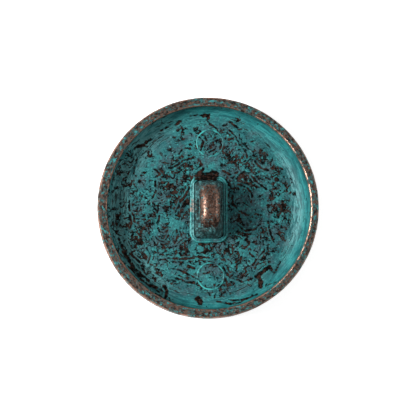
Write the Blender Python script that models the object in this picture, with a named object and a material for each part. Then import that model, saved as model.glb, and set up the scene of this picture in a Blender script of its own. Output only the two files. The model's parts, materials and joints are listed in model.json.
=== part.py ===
"""Metal shank button, 23 mm across, lying on its face with the sewing shank up.

Four pieces are held together by one crimp. The face cap is a thin pressed shell whose edge is rolled over the
back dish and makes the rim. The dish is a casting with a window in its floor. The shank passes up through that
window and is held by a flange underneath, and a card filler packs the space between the flange and the face.
+Z is up, away from the face. The origin is under the middle of the face, on the surface the button lies on.
The shank's eye runs along X, and the shank stands a little to the +X, -Y side of the middle.
"""

import math

import bmesh
import bpy

MM = 0.001

# Driving dimensions
BUTTON_RADIUS = 11.50 * MM
BODY_HEIGHT = 3.80 * MM
RIM_WIDTH = 0.85 * MM
SHANK_TOP = 6.20 * MM
CAP_SHEET = 0.35 * MM
DISH_FLOOR_TOP = 1.60 * MM
DISH_FLOOR_THICKNESS = 0.62 * MM
GAP = 0.03 * MM
ROUND_STEPS = 72

# Face cap: a sunk field inside a flat ring, a rounded shoulder, an upright side and the rolled rim
FIELD_RADIUS = 7.90 * MM
FIELD_SUNK = 0.20 * MM
RING_INNER_RADIUS = 8.60 * MM
RING_OUTER_RADIUS = 9.40 * MM
SHOULDER_HEIGHT = 1.90 * MM
RIM_OUTER_ROUNDING = 0.28 * MM
RIM_INNER_ROUNDING = 0.15 * MM
BEND_ROUNDING = 0.10 * MM
RIM_INNER_RADIUS = BUTTON_RADIUS - RIM_WIDTH
LIP_UNDERSIDE = BODY_HEIGHT - CAP_SHEET

# Back dish: flat floor, coved wall and a flange that the rim is rolled over
FLOOR_RADIUS = 8.77 * MM
COVE_WIDTH = 1.75 * MM
COVE_HEIGHT = 1.20 * MM
FLANGE_RADIUS = BUTTON_RADIUS - CAP_SHEET - 0.05 * MM
FLANGE_HEIGHT = 0.57 * MM
FLANGE_CHAMFER = 0.08 * MM
DISH_UNDERSIDE = DISH_FLOOR_TOP - DISH_FLOOR_THICKNESS

# Kerb: the raised edge round the window in the dish's floor, and the shank's place a little off the middle
SHANK_PLACE = (0.12 * MM, -0.06 * MM)
KERB_HALF_X = 1.96 * MM
KERB_HALF_Y = 3.50 * MM
KERB_HEIGHT = 0.35 * MM
KERB_CORNER = 1.05 * MM
KERB_ROUNDING = 0.14 * MM
WINDOW_HALF_X = 1.52 * MM
WINDOW_HALF_Y = 3.06 * MM
WINDOW_CORNER = 0.55 * MM

# Witness rings that the mould's two ejector pins leave on the floor: (x, y) of each
EJECTOR_PLACES = ((0.26 * MM, 6.94 * MM), (0.33 * MM, -7.04 * MM))
EJECTOR_RADIUS = 1.38 * MM
EJECTOR_LINE = 0.17 * MM
EJECTOR_HEIGHT = 0.06 * MM
EJECTOR_STEPS = 32

# Shank: a rounded loop, tapering up from the window, on a flange under the dish's floor
LOOP_BASE_HALF_X = WINDOW_HALF_X - GAP
LOOP_BASE_HALF_Y = WINDOW_HALF_Y - GAP
LOOP_TOP_HALF_X = 1.00 * MM
LOOP_SPRING_HALF_Y = 2.62 * MM
LOOP_SPRING_Z = 4.30 * MM
LOOP_ARCH_POWER = 2.5
LOOP_SIDE_ROUNDING = 0.75 * MM
LOOP_FOOT_ROUNDING = 0.06 * MM
EYE_RADIUS = 0.95 * MM
EYE_Z = 3.95 * MM
EYE_EDGE_ROUNDING = 0.20 * MM
SHANK_FLANGE_HALF_X = 2.30 * MM
SHANK_FLANGE_HALF_Y = 3.80 * MM
SHANK_FLANGE_CORNER = 0.80 * MM
SHANK_FLANGE_THICKNESS = 0.33 * MM
SHANK_FLANGE_TOP = DISH_UNDERSIDE - GAP
SHANK_FLANGE_BOTTOM = SHANK_FLANGE_TOP - SHANK_FLANGE_THICKNESS

# Filler: a card disc with a cut-out for the shank's flange
FILLER_RADIUS = 8.20 * MM
FILLER_BOTTOM = FIELD_SUNK + CAP_SHEET + GAP
FILLER_TOP = DISH_UNDERSIDE - GAP
FILLER_CUT_CLEARANCE = 0.10 * MM


def clear_scene():
    for item in list(bpy.data.objects):
        bpy.data.objects.remove(item, do_unlink=True)


def principled(name, colour, roughness, metallic):
    material = bpy.data.materials.new(name)
    material.use_nodes = True
    shader = material.node_tree.nodes["Principled BSDF"]
    shader.inputs["Base Color"].default_value = (*colour, 1.0)
    shader.inputs["Roughness"].default_value = roughness
    shader.inputs["Metallic"].default_value = metallic
    return material


def place(name, shape, material):
    """Turns a bmesh into a named object with smooth sides and sharp edges."""
    bmesh.ops.recalc_face_normals(shape, faces=shape.faces)
    mesh = bpy.data.meshes.new(name)
    shape.to_mesh(mesh)
    shape.free()
    mesh.shade_smooth()
    mesh.set_sharp_from_angle(angle=math.radians(35))
    if material:
        mesh.materials.append(material)
    part = bpy.data.objects.new(name, mesh)
    bpy.context.scene.collection.objects.link(part)
    return part


def helper(name, shape):
    """A cutter or an added shape, which isn't a piece of its own."""
    part = place(name, shape, None)
    part.hide_render = True
    part.display_type = "WIRE"
    return part


def combine(part, other, operation):
    boolean = part.modifiers.new(other.name, "BOOLEAN")
    boolean.operation = operation
    boolean.object = other
    boolean.solver = "EXACT"


def arc(centre, radii, start, end, steps):
    """Points on an ellipse from one angle to the other, in degrees."""
    points = []
    for step in range(steps + 1):
        angle = math.radians(start + (end - start) * step / steps)
        points.append((centre[0] + radii[0] * math.cos(angle), centre[1] + radii[1] * math.sin(angle)))
    return points


def moved(shape, place_xy):
    bmesh.ops.translate(shape, verts=shape.verts, vec=(*place_xy, 0))
    return shape


def smooth_step(start, end, steps):
    """Points down or up an S-shaped step, without its two ends."""
    points = []
    for step in range(1, steps):
        share = step / steps
        rise = share * share * (3 - 2 * share)
        points.append((start[0] + (end[0] - start[0]) * share, start[1] + (end[1] - start[1]) * rise))
    return points


def turned(profile, steps=ROUND_STEPS):
    """A profile of (radius, height) points, from the axis back to the axis, turned about Z."""
    shape = bmesh.new()
    verts = [shape.verts.new((radius, 0, height)) for radius, height in profile]
    edges = [shape.edges.new(pair) for pair in zip(verts, verts[1:])]
    bmesh.ops.spin(
        shape,
        geom=verts + edges,
        cent=(0, 0, 0),
        axis=(0, 0, 1),
        angle=math.tau,
        steps=steps,
        use_merge=True,
    )
    bmesh.ops.remove_doubles(shape, verts=shape.verts, dist=1e-7)
    return shape


def rounded_outline(half_x, half_y, corner, steps=5):
    """A rectangle with round corners, as (x, y) points."""
    corners = ((1, 1, 0), (-1, 1, 90), (-1, -1, 180), (1, -1, 270))
    points = []
    for side_x, side_y, start in corners:
        centre = (side_x * (half_x - corner), side_y * (half_y - corner))
        points += arc(centre, (corner, corner), start, start + 90, steps)
    return points


def stacked(levels):
    """A solid through outlines of equal point counts, each given as (height, points), lowest first."""
    shape = bmesh.new()
    rings = [[shape.verts.new((x, y, height)) for x, y in points] for height, points in levels]
    for lower, upper in zip(rings, rings[1:]):
        for index in range(len(lower)):
            after = (index + 1) % len(lower)
            shape.faces.new((lower[index], lower[after], upper[after], upper[index]))
    shape.faces.new(list(reversed(rings[0])))
    shape.faces.new(rings[-1])
    return shape


def cap_profile():
    shoulder = (RING_OUTER_RADIUS, SHOULDER_HEIGHT)
    reach = BUTTON_RADIUS - RING_OUTER_RADIUS
    field_inside = FIELD_SUNK + CAP_SHEET
    rim_middle = RIM_INNER_RADIUS + RIM_INNER_ROUNDING
    side_inside = BUTTON_RADIUS - CAP_SHEET
    outside = [(0, FIELD_SUNK), (FIELD_RADIUS, FIELD_SUNK)]
    outside += smooth_step((FIELD_RADIUS, FIELD_SUNK), (RING_INNER_RADIUS, 0), 4)
    outside += [(RING_INNER_RADIUS, 0)]
    outside += arc(shoulder, (reach, SHOULDER_HEIGHT), -90, 0, 10)
    outside += arc(
        (BUTTON_RADIUS - RIM_OUTER_ROUNDING, BODY_HEIGHT - RIM_OUTER_ROUNDING),
        (RIM_OUTER_ROUNDING, RIM_OUTER_ROUNDING),
        0,
        90,
        4,
    )
    outside += arc(
        (rim_middle, BODY_HEIGHT - RIM_INNER_ROUNDING),
        (RIM_INNER_ROUNDING, RIM_INNER_ROUNDING),
        90,
        180,
        3,
    )
    inside = [(RIM_INNER_RADIUS, LIP_UNDERSIDE)]
    inside += arc(
        (side_inside - BEND_ROUNDING, LIP_UNDERSIDE - BEND_ROUNDING),
        (BEND_ROUNDING, BEND_ROUNDING),
        90,
        0,
        2,
    )
    inside += arc(shoulder, (reach - CAP_SHEET, SHOULDER_HEIGHT - CAP_SHEET), 0, -90, 8)
    inside += [(RING_INNER_RADIUS, CAP_SHEET)]
    inside += smooth_step((RING_INNER_RADIUS, CAP_SHEET), (FIELD_RADIUS, field_inside), 4)
    inside += [(FIELD_RADIUS, field_inside), (0, field_inside)]
    return outside + inside


def make_face_cap(material):
    return place("face_cap", turned(cap_profile()), material)


def dish_profile():
    top = LIP_UNDERSIDE - GAP
    flange_foot = top - FLANGE_HEIGHT
    under = [(0, DISH_UNDERSIDE)]
    under += arc(
        (FLOOR_RADIUS, flange_foot),
        (FLANGE_RADIUS - FLOOR_RADIUS, flange_foot - DISH_UNDERSIDE),
        -90,
        0,
        8,
    )
    flange = [
        (FLANGE_RADIUS, top - FLANGE_CHAMFER),
        (FLANGE_RADIUS - FLANGE_CHAMFER, top),
        (RIM_INNER_RADIUS, top),
    ]
    inside = arc((FLOOR_RADIUS, DISH_FLOOR_TOP + COVE_HEIGHT), (COVE_WIDTH, COVE_HEIGHT), 0, -90, 9)
    return under + flange + inside + [(0, DISH_FLOOR_TOP)]


def kerb_levels():
    """The kerb from inside the floor to its rounded top."""
    bottom = DISH_FLOOR_TOP - DISH_FLOOR_THICKNESS / 2
    top = DISH_FLOOR_TOP + KERB_HEIGHT
    levels = [(bottom, 0.0), (top - KERB_ROUNDING, 0.0)]
    for angle in (30, 60, 90):
        turn = math.radians(angle)
        levels.append((top - KERB_ROUNDING * (1 - math.sin(turn)), KERB_ROUNDING * (1 - math.cos(turn))))
    return [
        (height, rounded_outline(KERB_HALF_X - inset, KERB_HALF_Y - inset, KERB_CORNER - inset))
        for height, inset in levels
    ]


def ejector_ring(place_xy):
    """A low ring that stands out of the floor."""
    low = DISH_FLOOR_TOP - DISH_FLOOR_THICKNESS / 4
    high = DISH_FLOOR_TOP + EJECTOR_HEIGHT
    half_line = EJECTOR_LINE / 2
    section = (
        (EJECTOR_RADIUS - half_line, low),
        (EJECTOR_RADIUS + half_line, low),
        (EJECTOR_RADIUS + half_line * 0.6, high),
        (EJECTOR_RADIUS - half_line * 0.6, high),
    )
    return moved(turned(section + section[:1], EJECTOR_STEPS), place_xy)


def make_back_dish(material):
    dish = place("back_dish", turned(dish_profile()), material)
    combine(dish, helper("kerb", moved(stacked(kerb_levels()), SHANK_PLACE)), "UNION")
    for number, place_xy in enumerate(EJECTOR_PLACES, start=1):
        combine(dish, helper(f"ejector_ring_{number}", ejector_ring(place_xy)), "UNION")
    window = rounded_outline(WINDOW_HALF_X, WINDOW_HALF_Y, WINDOW_CORNER)
    ends = (DISH_UNDERSIDE - MM, DISH_FLOOR_TOP + KERB_HEIGHT + MM)
    opening = moved(stacked([(end, window) for end in ends]), SHANK_PLACE)
    combine(dish, helper("window", opening), "DIFFERENCE")
    return dish


def make_filler(material):
    ends = (FILLER_BOTTOM, FILLER_TOP)
    disc = turned([(0, ends[0]), (FILLER_RADIUS, ends[0]), (FILLER_RADIUS, ends[1]), (0, ends[1])])
    filler = place("filler_disc", disc, material)
    cut = rounded_outline(
        SHANK_FLANGE_HALF_X + FILLER_CUT_CLEARANCE,
        SHANK_FLANGE_HALF_Y + FILLER_CUT_CLEARANCE,
        SHANK_FLANGE_CORNER,
    )
    levels = [(FILLER_BOTTOM - MM, cut), (FILLER_TOP + MM, cut)]
    combine(filler, helper("flange_cut_out", moved(stacked(levels), SHANK_PLACE)), "DIFFERENCE")
    return filler


def loop_half_x(height):
    """Half the loop's thickness along X at a height: straight in the window, then tapering to the crest."""
    start = DISH_FLOOR_TOP + KERB_HEIGHT
    share = min(1.0, max(0.0, (height - start) / (SHANK_TOP - start)))
    return LOOP_BASE_HALF_X + (LOOP_TOP_HALF_X - LOOP_BASE_HALF_X) * share


def loop_outline():
    """The loop's outline seen along X, as (y, z, edge rounding) points, anticlockwise from the foot's middle."""
    foot = (SHANK_FLANGE_TOP + SHANK_FLANGE_BOTTOM) / 2
    kerb_top = DISH_FLOOR_TOP + KERB_HEIGHT
    right = [(LOOP_BASE_HALF_Y * share, foot, LOOP_FOOT_ROUNDING) for share in (0, 0.35, 0.7)]
    for height in (foot, SHANK_FLANGE_TOP, DISH_FLOOR_TOP):
        right.append((LOOP_BASE_HALF_Y, height, LOOP_SIDE_ROUNDING))
    for share in (0, 1 / 3, 2 / 3):
        y = LOOP_BASE_HALF_Y + (LOOP_SPRING_HALF_Y - LOOP_BASE_HALF_Y) * share
        right.append((y, kerb_top + (LOOP_SPRING_Z - kerb_top) * share, LOOP_SIDE_ROUNDING))
    power = 2 / LOOP_ARCH_POWER
    for step in range(11):
        angle = math.radians(90 * step / 10)
        y = LOOP_SPRING_HALF_Y * max(0.0, math.cos(angle)) ** power
        z = LOOP_SPRING_Z + (SHANK_TOP - LOOP_SPRING_Z) * math.sin(angle) ** power
        right.append((y, z, LOOP_SIDE_ROUNDING))
    left = [(-y, z, rounding) for y, z, rounding in reversed(right[1:-1])]
    return right + left


def loop_section(reach, rounding):
    """Half of the bar's section, from the eye to the outside, as (distance from the eye's axis, share of the
    half thickness, inset) points."""
    turn_steps = 4
    points = [(EYE_RADIUS, 0.0, 0.0)]
    points.append((EYE_RADIUS, 0.5, 0.0))
    for step in range(turn_steps):
        angle = math.radians(90 * step / (turn_steps - 1))
        drop = EYE_EDGE_ROUNDING * (1 - math.cos(angle))
        points.append((EYE_RADIUS + drop, 1.0, EYE_EDGE_ROUNDING * (1 - math.sin(angle))))
    flank = EYE_RADIUS + EYE_EDGE_ROUNDING
    for share in (0.4, 0.75):
        points.append((flank + (reach - rounding - flank) * share, 1.0, 0.0))
    for step in range(turn_steps):
        angle = math.radians(90 * step / (turn_steps - 1))
        rise = rounding * (1 - math.sin(angle))
        points.append((reach - rise, 1.0, rounding * (1 - math.cos(angle))))
    points.append((reach, 0.12, 0.0))
    points.append((reach, 0.0, 0.0))
    return points


def loop_shape():
    """The loop as bar sections set round the eye."""
    shape = bmesh.new()
    rings = []
    for y, z, rounding in loop_outline():
        reach = math.hypot(y, z - EYE_Z)
        direction = (y / reach, (z - EYE_Z) / reach)
        half = []
        for distance, share, inset in loop_section(reach, rounding):
            height = EYE_Z + direction[1] * distance
            half.append((share * loop_half_x(height) - inset, direction[0] * distance, height))
        mirrored = [(-x, point_y, height) for x, point_y, height in reversed(half[1:-1])]
        rings.append([shape.verts.new(point) for point in half + mirrored])
    for index, ring in enumerate(rings):
        other = rings[(index + 1) % len(rings)]
        for spot in range(len(ring)):
            after = (spot + 1) % len(ring)
            shape.faces.new((ring[spot], ring[after], other[after], other[spot]))
    return moved(shape, SHANK_PLACE)


def make_shank(material):
    shank = place("shank", loop_shape(), material)
    outline = rounded_outline(SHANK_FLANGE_HALF_X, SHANK_FLANGE_HALF_Y, SHANK_FLANGE_CORNER)
    levels = [(SHANK_FLANGE_BOTTOM, outline), (SHANK_FLANGE_TOP, outline)]
    combine(shank, helper("shank_flange", moved(stacked(levels), SHANK_PLACE)), "UNION")
    return shank


def main():
    clear_scene()
    worn_copper = principled("worn_copper", (0.16, 0.10, 0.075), 0.45, 0.8)
    verdigris = principled("verdigris", (0.035, 0.20, 0.20), 0.6, 0.2)
    rubbed_copper = principled("rubbed_copper", (0.22, 0.12, 0.08), 0.4, 0.9)
    grey_card = principled("grey_card", (0.35, 0.30, 0.23), 0.95, 0.0)
    make_face_cap(worn_copper)
    make_back_dish(verdigris)
    make_shank(rubbed_copper)
    make_filler(grey_card)


main()
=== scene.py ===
"""Looks for the shank button: a verdigris back casting in a rolled copper rim, lying on its face.

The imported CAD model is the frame. The three pieces that show are rebuilt here at a finer grain, with the
uneven surface of a casting, and each replaces its CAD node. Sizes are in millimetres and become metres in
make_piece. The stage's sizes are in metres.
"""

import json
import math
import random
from types import SimpleNamespace

import bmesh
import bpy
import numpy as np
from mathutils import Matrix, Vector, kdtree, noise
from mathutils.geometry import delaunay_2d_cdt

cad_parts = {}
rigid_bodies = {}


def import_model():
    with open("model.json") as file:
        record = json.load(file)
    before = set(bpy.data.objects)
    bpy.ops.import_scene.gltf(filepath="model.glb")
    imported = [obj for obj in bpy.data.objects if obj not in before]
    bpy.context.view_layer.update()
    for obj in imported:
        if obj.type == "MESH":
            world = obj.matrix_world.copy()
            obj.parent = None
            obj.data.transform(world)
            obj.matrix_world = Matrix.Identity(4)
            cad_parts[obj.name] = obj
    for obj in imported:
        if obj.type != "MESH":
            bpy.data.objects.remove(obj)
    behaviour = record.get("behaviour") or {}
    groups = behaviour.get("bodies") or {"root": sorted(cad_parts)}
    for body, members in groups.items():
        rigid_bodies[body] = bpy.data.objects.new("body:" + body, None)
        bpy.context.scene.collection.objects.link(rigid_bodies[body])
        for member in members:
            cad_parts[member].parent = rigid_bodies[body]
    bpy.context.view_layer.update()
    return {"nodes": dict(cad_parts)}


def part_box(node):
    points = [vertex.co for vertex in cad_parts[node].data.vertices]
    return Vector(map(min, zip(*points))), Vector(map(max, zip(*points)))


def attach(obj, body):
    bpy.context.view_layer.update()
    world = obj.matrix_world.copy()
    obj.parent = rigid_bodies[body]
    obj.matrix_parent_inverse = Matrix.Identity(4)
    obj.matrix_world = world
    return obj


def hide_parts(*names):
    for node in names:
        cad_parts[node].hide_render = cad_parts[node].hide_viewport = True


for leftover in list(bpy.data.objects):
    bpy.data.objects.remove(leftover, do_unlink=True)

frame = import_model()

MM = 0.001


def box_mm(node):
    """The lower and the upper corner of a CAD node's box."""
    low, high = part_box(node)
    return low / MM, high / MM


CAP_HIGH = box_mm("face_cap")[1]
DISH_LOW, DISH_HIGH = box_mm("back_dish")
SHANK_LOW, SHANK_HIGH = box_mm("shank")

# Face cap
BUTTON_RADIUS = CAP_HIGH.x
BODY_HEIGHT = CAP_HIGH.z
RIM_INNER_RADIUS = BUTTON_RADIUS - 0.85
CAP_SHEET = 0.35
FIELD_RADIUS = 7.90
FIELD_SUNK = 0.20
RING_INNER_RADIUS = 8.60
RING_OUTER_RADIUS = 9.40
SHOULDER_HEIGHT = 1.90
RIM_OUTER_ROUNDING = 0.28
RIM_INNER_ROUNDING = 0.15
LIP_UNDERSIDE = BODY_HEIGHT - CAP_SHEET
SIDE_INSIDE = BUTTON_RADIUS - CAP_SHEET
LIP_OVERHANG = 0.15
HAMMER_SPACING = 1.35
HAMMER_ROW = 0.87
HAMMER_NUDGE = 0.24
HAMMER_DEPTH = 0.075
HAMMER_FADE = 0.7
FACE_GRAIN = 0.16

# Back dish
DISH_UNDERSIDE = DISH_LOW.z
DISH_TOP = DISH_HIGH.z
FLANGE_RADIUS = DISH_HIGH.x
FLANGE_FOOT = DISH_TOP - 0.57
FLANGE_CHAMFER = 0.08
FLOOR_TOP = 1.60
FLOOR_RADIUS = 8.77
COVE_WIDTH = 1.75
COVE_HEIGHT = 1.20
KERB_HEIGHT = 0.35
KERB_HALF = (1.96, 3.50)
KERB_CORNER = 1.05
WINDOW_HALF = (1.52, 3.06)
WINDOW_CORNER = 0.55
EJECTOR_PLACES = ((0.26, 6.94), (0.33, -7.04))
EJECTOR_RADIUS = 1.38
EJECTOR_HALF_LINE = 0.10
EJECTOR_HEIGHT = 0.06
EJECTOR_SUNK = 0.012
PIT_DEPTH = 0.035
PIT_SLOPE = 0.12

# Shank
SHANK_TOP = SHANK_HIGH.z
SHANK_PLACE = ((SHANK_LOW.x + SHANK_HIGH.x) / 2, (SHANK_LOW.y + SHANK_HIGH.y) / 2)
SHANK_FLANGE_HALF = ((SHANK_HIGH.x - SHANK_LOW.x) / 2, (SHANK_HIGH.y - SHANK_LOW.y) / 2)
LOOP_HALF_X = (1.49, 1.00)
LOOP_BASE_HALF_Y = 3.03
LOOP_SPRING = (2.62, 4.30)
LOOP_ARCH_POWER = 2.5
LOOP_SIDE_ROUNDING = 0.75
EYE_RADIUS = 0.95
EYE_Z = 3.95
EYE_EDGE_ROUNDING = 0.20
SHANK_FLANGE_CORNER = 0.80
SHANK_FLANGE_THICKNESS = 0.33

# Steps round a turn and round the kerb, and the sides of the triangles on the floor and inside
TURN_STEPS = 360
KERB_STEPS = 208
FLOOR_GRAIN = 0.11
HIDDEN_GRAIN = 1.2

# Where the patina, the wear and the painted shadow, sheen and highlights change, as (none yet, in full),
# along the radius, X, Y or Z
NEAR_WALL = (7.6, 8.8)
WALL = (9.2, 10.1)
CLEARING = (8.1, 9.3)
# Where the painted shadow under the lip lies
LIP_SHADOW_RADII = (10.46, 10.64)
LEFT_SIDE = (-2.0, -7.0)
# Where the painted sheen lies on the right wall: its side, then its radius, width and start below
PAINTED_SHEEN_SIDE = (6.5, 9.0)
PAINTED_SHEEN_RADIUS = 9.30
PAINTED_SHEEN_WIDTH = (0.75, 0.15)
PAINTED_SHEEN_START = (-5.4, -2.4)
# The kerb's left side, which faces the key light and gets painted highlight
KERB_LIT_SIDE = (-1.38, -1.50)
KERB_COPPER_Y = 0.3
KERB_COPPER_LENGTH = (0.85, 0.45)
# Sides of the rim whose copper edge gets painted highlight: the inner edge on the right, the outer edge on
# the left
RIM_LIT_INNER_SIDE = (2.0, 9.0)
RIM_LIT_OUTER_SIDE = (5.0, -3.0)
RIM_INNER_EDGE = (10.80, 10.73)
RIM_OUTER_EDGE = (11.28, 11.42)
RIM_TOP = (3.0, 3.5)
SIDE_TO_RIM = (3.30, 3.36)
FACE_HIGH_SPOTS = (0.26, 0.21)
CREST_RUBBED_Z = (5.1, 6.0)
CREST_BURNT_Y = (-0.9, -1.9)

# Curls in the film: (noise scale, level that a curl starts at, shift of the noise)
CURLS = ((0.95, 0.612, 0.0), (2.0, 0.676, 3.1))
CURL_BEND = 1.6
CURL_WIDEST = 0.044

# Stage
FLOOR_HALF_SIDE = 0.6
BUTTON_SHARE_OF_FRAME = 0.53125
CAMERA_TARGET_Z = 0.0028
CAMERA_LEAN = (-0.036, -0.084, 1.0)
LIGHT_TARGET_Z = 0.003

# Dark strokes in the dish where the patina never took: (width, points along it), seen from the back
STROKES = (
    # The first five strokes make the black patch above the shank's upper end: bare marks and, in part,
    # painted shadow of the shank.
    (0.46, ((-1.15, 3.12), (0.75, 3.12))),
    (0.50, ((-1.10, 3.45), (1.00, 3.42))),
    (0.36, ((-1.05, 3.70), (-0.80, 3.90), (-0.45, 4.15))),
    (0.30, ((-0.60, 3.75), (0.10, 3.72))),
    (0.36, ((0.25, 3.70), (0.55, 3.95), (1.05, 3.75))),
    (0.34, ((-0.45, 9.75), (0.15, 9.80), (-0.05, 9.45))),
    (0.22, ((-0.05, 9.45), (0.15, 8.95), (0.60, 8.75), (1.05, 8.25))),
    (0.12, ((-1.85, 9.70), (-1.10, 9.88), (-0.45, 9.80))),
    (0.36, ((-3.30, 8.85), (-2.95, 9.15))),
    (0.13, ((-4.90, 8.15), (-4.10, 8.65))),
    (0.30, ((-7.20, 6.55), (-6.60, 6.80), (-6.00, 7.30))),
    (0.20, ((-7.65, 6.30), (-7.15, 6.60), (-6.30, 6.55))),
    (0.16, ((-7.60, 6.10), (-7.40, 5.20), (-7.65, 4.30), (-7.75, 3.70))),
    (0.24, ((-7.15, 2.90), (-7.05, 2.92))),
    (0.20, ((-6.75, 3.80), (-6.40, 3.85))),
    (0.20, ((-6.45, 1.10), (-6.30, 1.05))),
    (0.24, ((-1.90, 2.20), (-2.35, 1.35), (-2.80, 0.85), (-3.10, 0.05))),
    (0.12, ((-3.10, 0.05), (-3.35, -0.35))),
    (0.26, ((-5.05, -0.80), (-5.20, -1.70))),
    (0.14, ((-5.20, -1.70), (-5.05, -2.35), (-4.55, -2.55), (-4.20, -2.25))),
    (0.15, ((-5.45, -2.95), (-5.10, -3.30), (-4.55, -3.45))),
    (0.13, ((-4.45, -3.40), (-4.05, -2.75))),
    (0.18, ((-8.15, 0.80), (-8.20, -0.10), (-7.75, -0.60), (-7.60, -1.35))),
    (0.13, ((-8.05, -0.15), (-7.40, -0.25), (-7.30, 0.15))),
    (0.16, ((-7.60, -1.05), (-6.50, -1.12))),
    (0.26, ((-9.30, -3.10), (-8.80, -4.30), (-8.05, -5.60), (-7.10, -6.70), (-6.20, -7.50))),
    (0.18, ((-8.35, -5.95), (-7.25, -7.15), (-6.20, -8.00), (-5.05, -8.75))),
    (0.42, ((-8.75, -4.50), (-8.30, -5.20))),
    (0.30, ((-8.30, -5.20), (-7.90, -6.10), (-7.20, -6.95))),
    (0.24, ((-8.10, -4.70), (-7.10, -5.60))),
    (0.18, ((-9.00, -3.60), (-8.20, -4.60), (-7.60, -4.40))),
    (0.34, ((-6.00, -8.10), (-5.35, -8.25))),
    (0.34, ((-4.60, -8.05), (-4.20, -8.60), (-4.45, -9.30))),
    (0.16, ((-3.55, -6.30), (-3.05, -6.35), (-1.70, -7.00), (-1.10, -7.35))),
    (0.22, ((-3.50, -7.15), (-2.80, -7.40), (-1.95, -7.75), (-1.45, -7.65))),
    (0.14, ((-5.10, -7.50), (-4.30, -7.20), (-3.50, -7.15))),
    (0.30, ((-2.05, -6.00), (-1.40, -6.20))),
    (0.72, ((-0.95, -9.50), (-0.80, -9.70))),
    (0.20, ((-4.10, -5.15), (-2.60, -5.25), (-1.40, -5.10))),
    (0.26, ((-1.50, -5.00), (0.20, -5.10))),
    (0.20, ((0.95, -9.65), (2.50, -9.95), (3.60, -9.75))),
    (0.16, ((2.20, -9.50), (3.60, -9.55), (5.10, -8.95))),
    (0.42, ((5.15, -7.10), (5.90, -6.45), (6.50, -6.05))),
    (0.46, ((5.45, -7.30), (5.55, -8.05))),
    (0.17, ((6.60, -6.00), (6.95, -6.80), (7.55, -5.55))),
    (0.24, ((2.55, 1.45), (2.60, 0.55), (3.30, -0.20), (4.30, -0.65))),
    (0.20, ((3.20, 2.60), (4.10, 2.30), (4.70, 1.60), (4.60, 0.80))),
    (0.20, ((3.05, -1.60), (3.90, -2.25), (4.90, -2.15), (5.50, -1.60))),
    (0.22, ((4.60, 3.55), (5.20, 2.80), (6.20, 2.10))),
    (0.18, ((5.60, 3.60), (6.60, 3.10))),
    (0.40, ((7.20, 3.15), (7.35, 3.05))),
    (0.22, ((1.70, 8.80), (2.40, 9.15), (3.10, 8.60), (3.60, 8.30))),
    (0.16, ((2.30, 8.30), (3.00, 7.60), (3.35, 6.80), (4.15, 6.05))),
    (0.26, ((2.25, 7.30), (2.60, 7.45))),
    (0.16, ((3.05, 6.20), (3.70, 6.35), (4.10, 5.85), (4.15, 5.35))),
    (0.22, ((1.60, 4.05), (2.40, 3.60), (3.20, 3.90))),
    (0.18, ((4.95, 5.00), (5.60, 4.30), (6.40, 4.10))),
    (0.18, ((-4.40, 4.35), (-3.60, 4.30), (-2.60, 5.05), (-1.10, 5.55))),
    (0.20, ((-5.60, 4.20), (-5.00, 3.60), (-5.55, 3.30))),
    (0.16, ((-3.00, 5.75), (-2.50, 6.40), (-1.80, 6.35))),
    (0.18, ((-5.45, 3.05), (-5.40, 1.80), (-5.80, 1.10))),
    (0.17, ((-0.95, 7.60), (-0.40, 7.10), (-0.75, 6.20))),
    (0.15, ((0.00, 7.80), (0.30, 7.20), (0.90, 7.55))),
    (0.15, ((0.10, 5.95), (0.65, 6.20), (1.10, 6.75))),
    (0.16, ((-0.70, -6.90), (0.20, -6.60))),
    (0.15, ((0.85, -6.60), (1.10, -7.40), (0.70, -8.00))),
    (0.16, ((0.95, -8.55), (0.70, -9.30))),
    (0.20, ((6.30, -1.30), (6.60, -2.60), (7.00, -3.60))),
    (0.16, ((5.80, -3.30), (6.00, -4.30), (5.40, -5.00))),
    (0.16, ((4.40, -4.60), (5.10, -5.30), (4.70, -5.90))),
    (0.20, ((1.60, -6.10), (2.30, -7.20), (2.80, -6.70))),
    (0.16, ((2.30, -7.20), (3.60, -7.60), (4.60, -7.30))),
    (0.16, ((-6.40, -4.10), (-5.90, -4.90), (-6.30, -5.90))),
    (0.14, ((-2.90, -2.30), (-2.60, -3.10), (-3.30, -3.90))),
)

# How crowded the fine dark marks are: (x, y, radius, amount) of soft spots, crowded over 0 and clear under 0
CROWDING = (
    (-5.0, 7.0, 1.7, -1.0),
    (-6.2, 4.6, 1.2, -0.8),
    (-1.9, 7.2, 0.8, -0.4),
    (0.4, 4.75, 1.0, -1.0),
    (4.4, -5.6, 1.3, -0.7),
    (-0.3, -7.6, 0.9, -0.5),
    (5.6, 0.6, 1.2, -0.7),
    (-4.4, -1.4, 1.1, -0.5),
    (-4.0, 2.6, 2.4, 0.4),
    (-3.6, 4.6, 1.4, 0.5),
    (-8.0, -1.0, 1.6, 0.5),
    (-7.6, -5.0, 1.8, 0.7),
    (-3.2, -3.4, 1.8, 0.4),
    (2.6, -4.6, 1.6, 0.5),
    (3.6, 3.9, 2.0, 0.6),
    (7.9, 0.8, 1.6, 0.5),
    (2.4, -8.2, 1.8, 0.5),
    (-5.0, -8.0, 1.4, 0.5),
    (3.0, 7.8, 1.4, 0.4),
    (6.0, -3.0, 1.3, 0.5),
    (0.3, 6.9, 1.0, 0.6),
    # This spot crowds the dark marks right of the shank, partly as painted shadow of the shank.
    (5.0, 2.6, 1.6, 0.4),
)


# ---------------------------------------------------------------- outlines


def arc(centre, radii, start, end, steps):
    """Points on an ellipse from one angle to the other, in degrees."""
    angles = [math.radians(start + (end - start) * step / steps) for step in range(steps + 1)]
    return [(centre[0] + radii[0] * math.cos(a), centre[1] + radii[1] * math.sin(a)) for a in angles]


def line(start, end, steps):
    """Points from start to end, without either."""
    shares = [step / steps for step in range(1, steps)]
    return [(start[0] + (end[0] - start[0]) * s, start[1] + (end[1] - start[1]) * s) for s in shares]


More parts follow.
